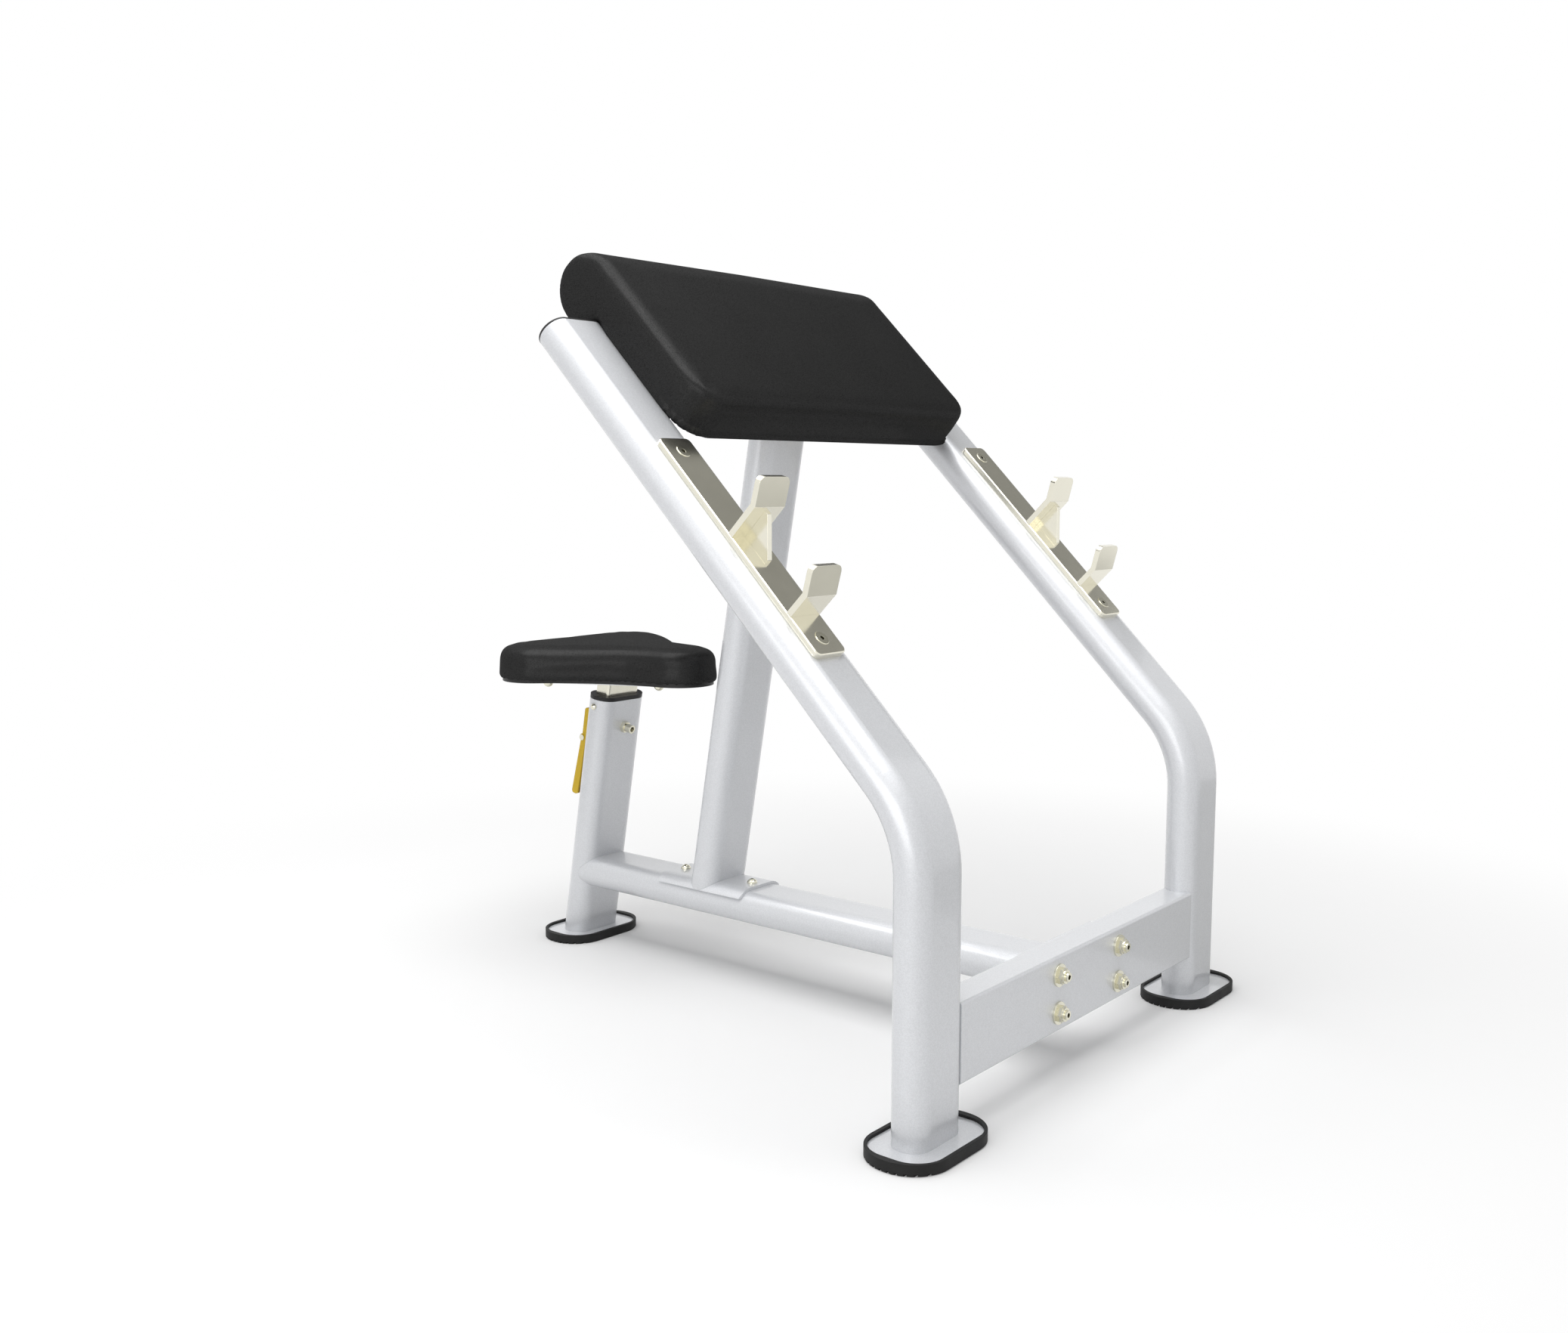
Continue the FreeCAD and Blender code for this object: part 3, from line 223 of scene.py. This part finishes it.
def zinc_plate(looks):
    """Dull zinc plating with a grey bloom."""
    b = Board(bpy.data.materials.new("zinc_plate"))
    where = b.place()
    bloom = b.noise(where, 160.0, 5.0, 0.65)
    pits = b.noise(where, 1800.0, 1.0)
    normal = b.node("ShaderNodeBump", {}, {"Strength": 0.08, "Distance": 0.0002, "Height": pits})
    return b.finish({
        "Base Color": b.tint(bloom, shade(looks.zinc, 0.8), shade(looks.zinc, 1.15)),
        "Metallic": 1.0,
        "Roughness": b.between(bloom, 0.28, 0.5),
        "Normal": normal,
    })


def yellow_enamel(looks):
    """Mustard enamel with a soft orange peel and slightly rubbed tone."""
    b = Board(bpy.data.materials.new("yellow_enamel"))
    where = b.place()
    rub = b.noise(where, 55.0, 4.0, 0.6)
    peel = b.noise(where, 500.0, 1.0)
    edge = b.node("ShaderNodeBevel", {"samples": 6}, {"Radius": 0.0008})
    normal = b.node("ShaderNodeBump", {}, {"Strength": 0.06, "Distance": 0.0004, "Height": peel, "Normal": edge})
    return b.finish({
        "Base Color": b.tint(rub, shade(looks.lever, 1.1), shade(looks.lever, 1.28)),
        "Roughness": b.between(rub, 0.26, 0.4),
        "Specular IOR Level": 0.25,
        "Coat Weight": 0.08,
        "Coat Roughness": 0.15,
        "Normal": normal,
    })


def black_rubber(looks):
    """Moulded rubber: matt, with a dusty bloom and a fine cast texture."""
    b = Board(bpy.data.materials.new("black_rubber"))
    where = b.place()
    dust = b.step(b.noise(where, 38.0, 5.0, 0.6), 0.35, 0.8)
    cast = b.noise(where, 1500.0, 2.0)
    edge = b.node("ShaderNodeBevel", {"samples": 4}, {"Radius": 0.0008})
    normal = b.node("ShaderNodeBump", {}, {"Strength": 0.15, "Distance": 0.0003, "Height": cast, "Normal": edge})
    return b.finish({
        "Base Color": b.tint(dust, shade(looks.rubber, 0.7), shade(looks.rubber, 1.15)),
        "Roughness": b.between(dust, 0.55, 0.75),
        "Specular IOR Level": 0.2,
        "Normal": normal,
    })


def black_moulding(looks):
    """Injection-moulded plastic with a fine spark texture."""
    b = Board(bpy.data.materials.new("black_moulding"))
    where = b.place()
    spark = b.node("ShaderNodeTexVoronoi", {}, {"Vector": where, "Scale": 1100.0}, "Distance")
    tone = b.noise(where, 60.0, 3.0)
    edge = b.node("ShaderNodeBevel", {"samples": 4}, {"Radius": 0.0007})
    normal = b.node("ShaderNodeBump", {}, {"Strength": 0.12, "Distance": 0.0002, "Height": spark, "Normal": edge})
    return b.finish({
        "Base Color": b.tint(tone, shade(looks.moulding, 0.35), shade(looks.moulding, 0.6)),
        "Roughness": b.between(tone, 0.36, 0.5),
        "Specular IOR Level": 0.3,
        "Normal": normal,
    })


def black_vinyl(looks, turn):
    """Upholstery vinyl: a fine pebble grain with shallow creases, a little shine on the pebbles' tops, and painted
    shade darkening the creases.
    """
    b = Board(bpy.data.materials.new("black_vinyl"))
    where = b.place(turn=turn)
    warp = b.node("ShaderNodeVectorMath", {"operation": "MULTIPLY_ADD"},
                  {0: b.node("ShaderNodeTexNoise", {}, {"Vector": where, "Scale": 240.0, "Detail": 2.0}, "Color"),
                   1: (0.0012, 0.0012, 0.0012), 2: where})
    pebble = b.node("ShaderNodeTexVoronoi", {"feature": "DISTANCE_TO_EDGE"}, {"Vector": warp, "Scale": 700.0})
    crease = b.step(pebble, 0.0, 0.22)
    pores = b.noise(where, 2600.0, 2.0)
    cloud = b.noise(where, 13.0, 4.0, 0.55)
    height = 0.8 * crease + 0.2 * pores
    normal = b.node("ShaderNodeBump", {}, {"Strength": 0.45, "Distance": 0.00025, "Height": height})
    return b.finish({
        # Colour darker in the grain's creases than on the pebbles' tops: painted shade, mixed with a random cloud
        # tone
        "Base Color": b.tint(0.45 * crease + 0.55 * cloud, shade(looks.vinyl, 0.42), shade(looks.vinyl, 0.68)),
        "Roughness": b.between(cloud, 0.58, 0.68) - 0.05 * crease,
        "Specular IOR Level": 0.0,
        "Coat Weight": b.between(crease, 0.04, 0.13),
        "Coat IOR": 2.4,
        "Coat Roughness": 0.36,
        "Normal": normal,
    })


def birch_ply(looks):
    """Birch plywood on the slope: thin layers through the thickness and long grain on the faces."""
    b = Board(bpy.data.materials.new("birch_ply"))
    turn = (slope_angle, 0.0, 0.0)
    depth = b.node("ShaderNodeSeparateXYZ", {}, {"Vector": b.place(turn=turn)}, "Z")
    layer = b.node("ShaderNodeMath", {"operation": "PINGPONG"}, {0: depth, 1: 0.0015})
    layer = b.step(layer, 0.0005, 0.0009)
    grain = b.noise(b.place((2.0, 60.0, 60.0), turn), 7.0, 6.0, 0.6)
    tone = 0.55 * grain + 0.45 * layer
    normal = b.node("ShaderNodeBump", {}, {"Strength": 0.1, "Distance": 0.0003, "Height": grain})
    return b.finish({
        "Base Color": b.tint(tone, shade(looks.ply, 0.62), shade(looks.ply, 1.1)),
        "Roughness": b.between(grain, 0.6, 0.75),
        "Normal": normal,
    })


def dress(names, finish):
    """Gives CAD nodes a finish."""
    for name in names:
        node = frame["nodes"][name]
        for held in node.material_slots:
            held.material = finish


def only(piece):
    """Leaves one object selected and active, in object mode."""
    if bpy.context.object and bpy.context.object.mode != "OBJECT":
        bpy.ops.object.mode_set(mode="OBJECT")
    bpy.ops.object.select_all(action="DESELECT")
    piece.select_set(True)
    bpy.context.view_layer.objects.active = piece


def filled_pad(name, node, turn, held_below, free_above, voxel, tuck, cap, crisp):
    """A pad cover grown from its solid: drawn in, blown up as cloth under pressure, and held at its underside.

    The turn takes the pad to lie flat. Heights are above the flat underside at its lower end, where the
    cover's edge is pulled out by the length given as crisp.
    """
    pad = bpy.data.objects.new(name, frame["nodes"][node].data.copy())
    bpy.context.scene.collection.objects.link(pad)
    pad.data.materials.clear()
    only(pad)
    pad.data.transform(turn.inverted())
    bpy.ops.object.mode_set(mode="EDIT")
    bpy.ops.mesh.select_all(action="SELECT")
    bpy.ops.mesh.remove_doubles(threshold=0.00001)
    bpy.ops.object.mode_set(mode="OBJECT")
    bpy.ops.mesh.customdata_custom_splitnormals_clear()
    remesh = pad.modifiers.new("even_quads", "REMESH")
    remesh.mode = "VOXEL"
    remesh.voxel_size = voxel
    bpy.ops.object.modifier_apply(modifier=remesh.name)
    ends = [f(v.co.y for v in pad.data.vertices) for f in (min, max)]
    low = min(v.co.z for v in pad.data.vertices if v.co.y < ends[0] + (ends[1] - ends[0]) * flat_share)
    # The edge ends where a roll starts to hang below the flat underside
    roll = min((v.co.y for v in pad.data.vertices if v.co.z < low - voxel), default=ends[1] + rim_fade)
    rim = [v for v in pad.data.vertices if abs(v.co.z - low) < 1.5 * voxel and -0.92 < v.normal.z < -0.3]
    for v, way in [(v, v.normal.copy()) for v in rim]:
        v.co += way * crisp * min(1.0, max(0.0, (roll - v.co.y) / rim_fade))
    # Applying a modifier rebuilds the groups, so later steps know them by name
    held = pad.vertex_groups.new(name="held")
    loose = pad.vertex_groups.new(name="loose")
    sides = pad.vertex_groups.new(name="sides")
    for v in pad.data.vertices:
        share = (v.co.z - low - held_below) / (free_above - held_below)
        share = min(1.0, max(0.0, share))
        held.add([v.index], 1.0 - share, "REPLACE")
        loose.add([v.index], share, "REPLACE")
        above_rim = (v.co.z - low) / (2.0 * voxel) - 1.0
        sides.add([v.index], min(1.0, max(0.0, above_rim)), "REPLACE")
    settle = pad.modifiers.new("settle", "SMOOTH")
    settle.iterations = 1
    settle.vertex_group = "loose"
    bpy.ops.object.modifier_apply(modifier=settle.name)
    draw_in = pad.modifiers.new("draw_in", "DISPLACE")
    draw_in.mid_level = 0.0
    draw_in.strength = -tuck
    draw_in.vertex_group = "loose"
    bpy.ops.object.modifier_apply(modifier=draw_in.name)
    start = [v.co.copy() for v in pad.data.vertices]
    cloth = pad.modifiers.new("foam_pressure", "CLOTH")
    cloth.settings.use_pressure = True
    cloth.settings.uniform_pressure_force = 4.0
    cloth.settings.effector_weights.gravity = 0.0
    cloth.settings.vertex_group_mass = "held"
    cloth.settings.tension_stiffness = 25.0
    cloth.settings.compression_stiffness = 25.0
    cloth.settings.bending_stiffness = 2.0
    scene = bpy.context.scene
    for tick in range(1, fill_frames + 1):
        scene.frame_set(tick)
    bpy.ops.object.modifier_apply(modifier=cloth.name)
    for v, home in zip(pad.data.vertices, start):
        move = v.co - home
        if move.length > cap:
            v.co = home + move * (cap / move.length)
    scene.frame_set(1)
    calm = pad.modifiers.new("calm", "SMOOTH")
    calm.iterations = 12
    calm.vertex_group = "sides"
    bpy.ops.object.modifier_apply(modifier=calm.name)
    pad.data.transform(turn)
    bpy.ops.object.shade_smooth()
    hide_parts(node)
    return pad


class BenchLooks(bpy.types.PropertyGroup):
    """Colours and small sizes of the finishes."""
    paint: FloatVectorProperty(name="Paint", description="Silver paint of the frame", subtype="COLOR",
                               default=slot_colours["frame_paint"], min=0.0, max=1.0)
    nickel: FloatVectorProperty(name="Rack nickel", description="Plating of the bar rack", subtype="COLOR",
                                default=slot_colours["rack_nickel"], min=0.0, max=1.0)
    hardware: FloatVectorProperty(name="Hardware", description="Plating of bolts, washers and nuts", subtype="COLOR",
                                  default=slot_colours["hardware"], min=0.0, max=1.0)
    seat_tube: FloatVectorProperty(name="Seat tube", description="Plating of the sliding tube", subtype="COLOR",
                                   default=slot_colours["seat_tube_plate"], min=0.0, max=1.0)
    zinc: FloatVectorProperty(name="Zinc", description="Plain parts under the pads", subtype="COLOR",
                              default=slot_colours["plain_steel"], min=0.0, max=1.0)
    vinyl: FloatVectorProperty(name="Vinyl", description="Pad covers", subtype="COLOR",
                               default=slot_colours["vinyl"], min=0.0, max=1.0)
    rubber: FloatVectorProperty(name="Rubber", description="Foot trays", subtype="COLOR",
                                default=slot_colours["rubber"], min=0.0, max=1.0)
    moulding: FloatVectorProperty(name="Moulding", description="Caps and bush", subtype="COLOR",
                                  default=slot_colours["black_plastic"], min=0.0, max=1.0)
    ply: FloatVectorProperty(name="Plywood", description="Board under the arm pad", subtype="COLOR",
                             default=slot_colours["plywood"], min=0.0, max=1.0)
    lever: FloatVectorProperty(name="Lever", description="Enamel of the seat lever", subtype="COLOR",
                               default=slot_colours["lever_yellow"], min=0.0, max=1.0)
    paint_round: FloatProperty(name="Painted edge", description="Softness of painted edges", unit="LENGTH",
                               default=0.001, min=0.0, max=0.005)


class BenchPadding(bpy.types.PropertyGroup):
    """Sizes of the padding."""
    arm_voxel: FloatProperty(name="Arm pad mesh", description="Mesh size of the arm pad", unit="LENGTH",
                             default=0.0036, min=0.003, max=0.02)
    seat_voxel: FloatProperty(name="Seat mesh", description="Mesh size of the seat", unit="LENGTH",
                              default=0.0034, min=0.003, max=0.02)
    tuck: FloatProperty(name="Tuck", description="How far a cover is drawn in before it is filled", unit="LENGTH",
                        default=0.0008, min=0.0, max=0.01)
    arm_swell: FloatProperty(name="Arm pad swell", description="Most that the arm pad's cover moves out",
                             unit="LENGTH", default=0.001, min=0.0, max=0.02)
    flank_at: FloatProperty(name="Flank place", description="Middle of the seat's flanks from the bench's middle",
                            unit="LENGTH", default=0.377, min=0.0, max=0.6)
    flank_reach: FloatProperty(name="Flank reach", description="Half the length of the seat's flanks", unit="LENGTH",
                               default=0.085, min=0.01, max=0.2)
    flank_share: FloatProperty(name="Flank share", description="How much wider the flanks are than the solid",
                               default=0.165, min=0.0, max=0.3)
    seat_swell: FloatProperty(name="Seat swell", description="Most that the seat's cover moves out", unit="LENGTH",
                              default=0.001, min=0.0, max=0.02)


class BENCH_OT_tubes(bpy.types.Operator):
    """Paint the legs, posts, beam, cross members and plates silver"""
    bl_idname = "bench.tubes"
    bl_label = "Paint the frame"

    def execute(self, context):
        dress(tubes, silver_paint(context.scene.bench_looks))
        return {"FINISHED"}


class BENCH_OT_rack(bpy.types.Operator):
    """Plate the bar rack: its plates, hooks and gussets"""
    bl_idname = "bench.rack"
    bl_label = "Plate the bar rack"

    def execute(self, context):
        looks = context.scene.bench_looks
        along_slope = (slope_angle, 0.0, 0.0)
        dress(rack, warm_nickel("rack_nickel", looks.nickel, 0.17, 0.05, along_slope, 0.0005, 1.18))
        return {"FINISHED"}


class BENCH_OT_fasteners(bpy.types.Operator):
    """Plate the bolts, washers, nuts and screws, and the sliding seat tube"""
    bl_idname = "bench.fasteners"
    bl_label = "Plate the hardware"

    def execute(self, context):
        looks = context.scene.bench_looks
        dress(fasteners, warm_nickel("bright_nickel", looks.hardware, 0.16, 1.0, (0.0, 0.0, 0.0), 0.0005, 0.98))
        lean = (lean_angle, 0.0, 0.0)
        dress(["seat_tube"], warm_nickel("seat_tube_nickel", looks.seat_tube, 0.2, 0.05, lean, 0.0006, 1.12))
        dress(zinc_parts, zinc_plate(looks))
        return {"FINISHED"}


class BENCH_OT_feet(bpy.types.Operator):
    """Give the foot trays their rubber and the caps, bush and glide their plastic"""
    bl_idname = "bench.feet"
    bl_label = "Rubber and plastic"

    def execute(self, context):
        looks = context.scene.bench_looks
        dress(rubbers, black_rubber(looks))
        dress(mouldings + ["seat_board"], black_moulding(looks))
        return {"FINISHED"}


class BENCH_OT_lever(bpy.types.Operator):
    """Enamel the seat lever"""
    bl_idname = "bench.lever"
    bl_label = "Enamel the lever"

    def execute(self, context):
        dress(["lever"], yellow_enamel(context.scene.bench_looks))
        return {"FINISHED"}


class BENCH_OT_board(bpy.types.Operator):
    """Give the board under the arm pad its plywood"""
    bl_idname = "bench.board"
    bl_label = "Plywood board"

    def execute(self, context):
        dress(["arm_pad_board"], birch_ply(context.scene.bench_looks))
        return {"FINISHED"}


class BENCH_OT_arm_pad(bpy.types.Operator):
    """Upholster the sloping arm pad with its roll"""
    bl_idname = "bench.arm_pad"
    bl_label = "Upholster the arm pad"

    def execute(self, context):
        sizes = context.scene.bench_padding
        cover = filled_pad("arm_pad_cover", "arm_pad", slope_turn, arm_held, arm_free, sizes.arm_voxel,
                           sizes.tuck, sizes.arm_swell, arm_crisp)
        cover.data.materials.append(black_vinyl(context.scene.bench_looks, (slope_angle, 0.0, 0.0)))
        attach(cover, "frame")
        return {"FINISHED"}


class BENCH_OT_seat(bpy.types.Operator):
    """Upholster the seat cushion"""
    bl_idname = "bench.seat"
    bl_label = "Upholster the seat"

    def execute(self, context):
        sizes = context.scene.bench_padding
        cover = filled_pad("seat_cushion", "seat_pad", Matrix.Identity(4), seat_held, seat_free, sizes.seat_voxel,
                           sizes.tuck, sizes.seat_swell, 0.0)
        # The cushion's flanks stand out where it narrows towards its nose
        for v in cover.data.vertices:
            near = max(0.0, 1.0 - ((v.co.y - sizes.flank_at) / sizes.flank_reach) ** 2)
            v.co.x *= 1.0 + sizes.flank_share * near ** 2
        cover.data.materials.append(black_vinyl(context.scene.bench_looks, (0.0, 0.0, 0.0)))
        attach(cover, "seat")
        return {"FINISHED"}


def softbox(name, place, aim, size, power):
    """A square area lamp at a place, facing a point."""
    turn = (Vector(aim) - Vector(place)).to_track_quat("-Z", "Y").to_euler()
    bpy.ops.object.light_add(type="AREA", location=place, rotation=turn)
    lamp = bpy.context.object
    lamp.name = name
    lamp.data.shape = "RECTANGLE"
    lamp.data.size, lamp.data.size_y = size
    lamp.data.energy = power


def grey_card(name, place, turn, size, tone):
    """A card that only mirrors show: out of the picture, off the light and without a shadow."""
    bpy.ops.object.select_all(action="DESELECT")
    bpy.ops.mesh.primitive_grid_add(x_subdivisions=2, y_subdivisions=2, size=1.0, location=place,
                                    rotation=(0.0, turn, 0.0))
    card = bpy.context.object
    card.name = name
    card.scale = size + (1.0,)
    bpy.ops.object.transform_apply(location=True, rotation=True, scale=True)
    b = Board(bpy.data.materials.new(name))
    grey = b.node("ShaderNodeEmission", {}, {"Color": tone + (1.0,), "Strength": 1.0})
    b.node("ShaderNodeOutputMaterial", {}, {"Surface": grey})
    card.data.materials.append(b.owner)
    card.visible_camera = False
    card.visible_diffuse = False
    card.visible_shadow = False


class BENCH_OT_stage(bpy.types.Operator):
    """Set the white stage: floor, lamps, backdrop and camera"""
    bl_idname = "bench.stage"
    bl_label = "Set the stage"

    def execute(self, context):
        only(frame["nodes"]["beam_tube"])
        bpy.ops.object.select_all(action="DESELECT")
        bpy.ops.mesh.primitive_circle_add(vertices=96, radius=14.0, fill_type="NGON", location=(0.0, 0.0, 0.0))
        floor = context.object
        floor.name = "floor"
        b = Board(bpy.data.materials.new("white_floor"))
        where = b.place()
        reach = b.node("ShaderNodeVectorMath", {"operation": "LENGTH"}, {0: where}, "Value")
        far = b.step(reach, 0.6, 1.8)
        paper = b.node("ShaderNodeBsdfDiffuse", {}, {"Color": (0.87, 0.87, 0.87, 1.0)})
        glow = b.node("ShaderNodeEmission", {}, {"Color": (1.0, 1.0, 1.0, 1.0), "Strength": 1.0})
        mixed = b.node("ShaderNodeMixShader", {}, {0: b.seen() * b.between(far, 0.12, 1.0), 1: paper, 2: glow})
        b.node("ShaderNodeOutputMaterial", {}, {"Surface": mixed})
        floor.data.materials.append(b.owner)

        world = bpy.data.worlds.new("white_room")
        context.scene.world = world
        b = Board(world)
        dim = b.node("ShaderNodeBackground", {}, {"Color": (1.0, 1.0, 1.0, 1.0), "Strength": 0.29})
        white = b.node("ShaderNodeBackground", {}, {"Color": (1.0, 1.0, 1.0, 1.0), "Strength": 1.0})
        mixed = b.node("ShaderNodeMixShader", {}, {0: b.seen(), 1: dim, 2: white})
        b.node("ShaderNodeOutputWorld", {}, {"Surface": mixed})

        softbox("fill", (-3.4, -0.8, 1.2), (0.0, 0.0, 0.6), (3.0, 1.8), 33.0)
        softbox("overhead", (-0.6, 0.3, 3.4), (-0.6, 0.3, 0.0), (3.0, 4.4), 141.0)

        # What the plates mirror above the bench, and what the hooks mirror on the floor
        grey_card("high_card", (2.33, -0.3, 2.52), math.radians(54.4), (1.9, 1.5), (0.28, 0.28, 0.27))
        grey_card("low_card", (1.4, -1.05, 0.02), 0.0, (2.0, 1.2), (0.58, 0.58, 0.57))

        bpy.ops.object.camera_add(location=(-1.75985, -1.41703, 0.76678),
                                  rotation=(math.radians(83.1068), 0.0, math.radians(-50.5880)))
        camera = context.object
        camera.name = "photo_camera"
        camera.data.sensor_fit = "HORIZONTAL"
        camera.data.sensor_width = 36.0
        camera.data.lens = 34.956
        camera.data.clip_end = 60.0
        context.scene.camera = camera
        context.scene.view_settings.view_transform = "Standard"
        return {"FINISHED"}


class BENCH_PT_sidebar(bpy.types.Panel):
    """Steps and settings of the bench"""
    bl_idname = "BENCH_PT_sidebar"
    bl_label = "Preacher curl bench"
    bl_space_type = "VIEW_3D"
    bl_region_type = "UI"
    bl_category = "Bench"

    def draw(self, context):
        column = self.layout.column()
        for step in steps:
            column.operator(step.bl_idname)
        for group in (context.scene.bench_looks, context.scene.bench_padding):
            for key in group.__annotations__:
                column.prop(group, key)


steps = [BENCH_OT_tubes, BENCH_OT_rack, BENCH_OT_fasteners, BENCH_OT_feet, BENCH_OT_lever, BENCH_OT_board,
         BENCH_OT_arm_pad, BENCH_OT_seat, BENCH_OT_stage]
classes = [BenchLooks, BenchPadding] + steps + [BENCH_PT_sidebar]


def register():
    for kind in classes:
        bpy.utils.register_class(kind)
    bpy.types.Scene.bench_looks = PointerProperty(type=BenchLooks)
    bpy.types.Scene.bench_padding = PointerProperty(type=BenchPadding)


def unregister():
    del bpy.types.Scene.bench_padding
    del bpy.types.Scene.bench_looks
    for kind in reversed(classes):
        bpy.utils.unregister_class(kind)


def main():
    register()
    bpy.ops.bench.tubes()
    bpy.ops.bench.rack()
    bpy.ops.bench.fasteners()
    bpy.ops.bench.feet()
    bpy.ops.bench.lever()
    bpy.ops.bench.board()
    bpy.ops.bench.arm_pad()
    bpy.ops.bench.seat()
    bpy.ops.bench.stage()


if __name__ == "__main__":
    main()
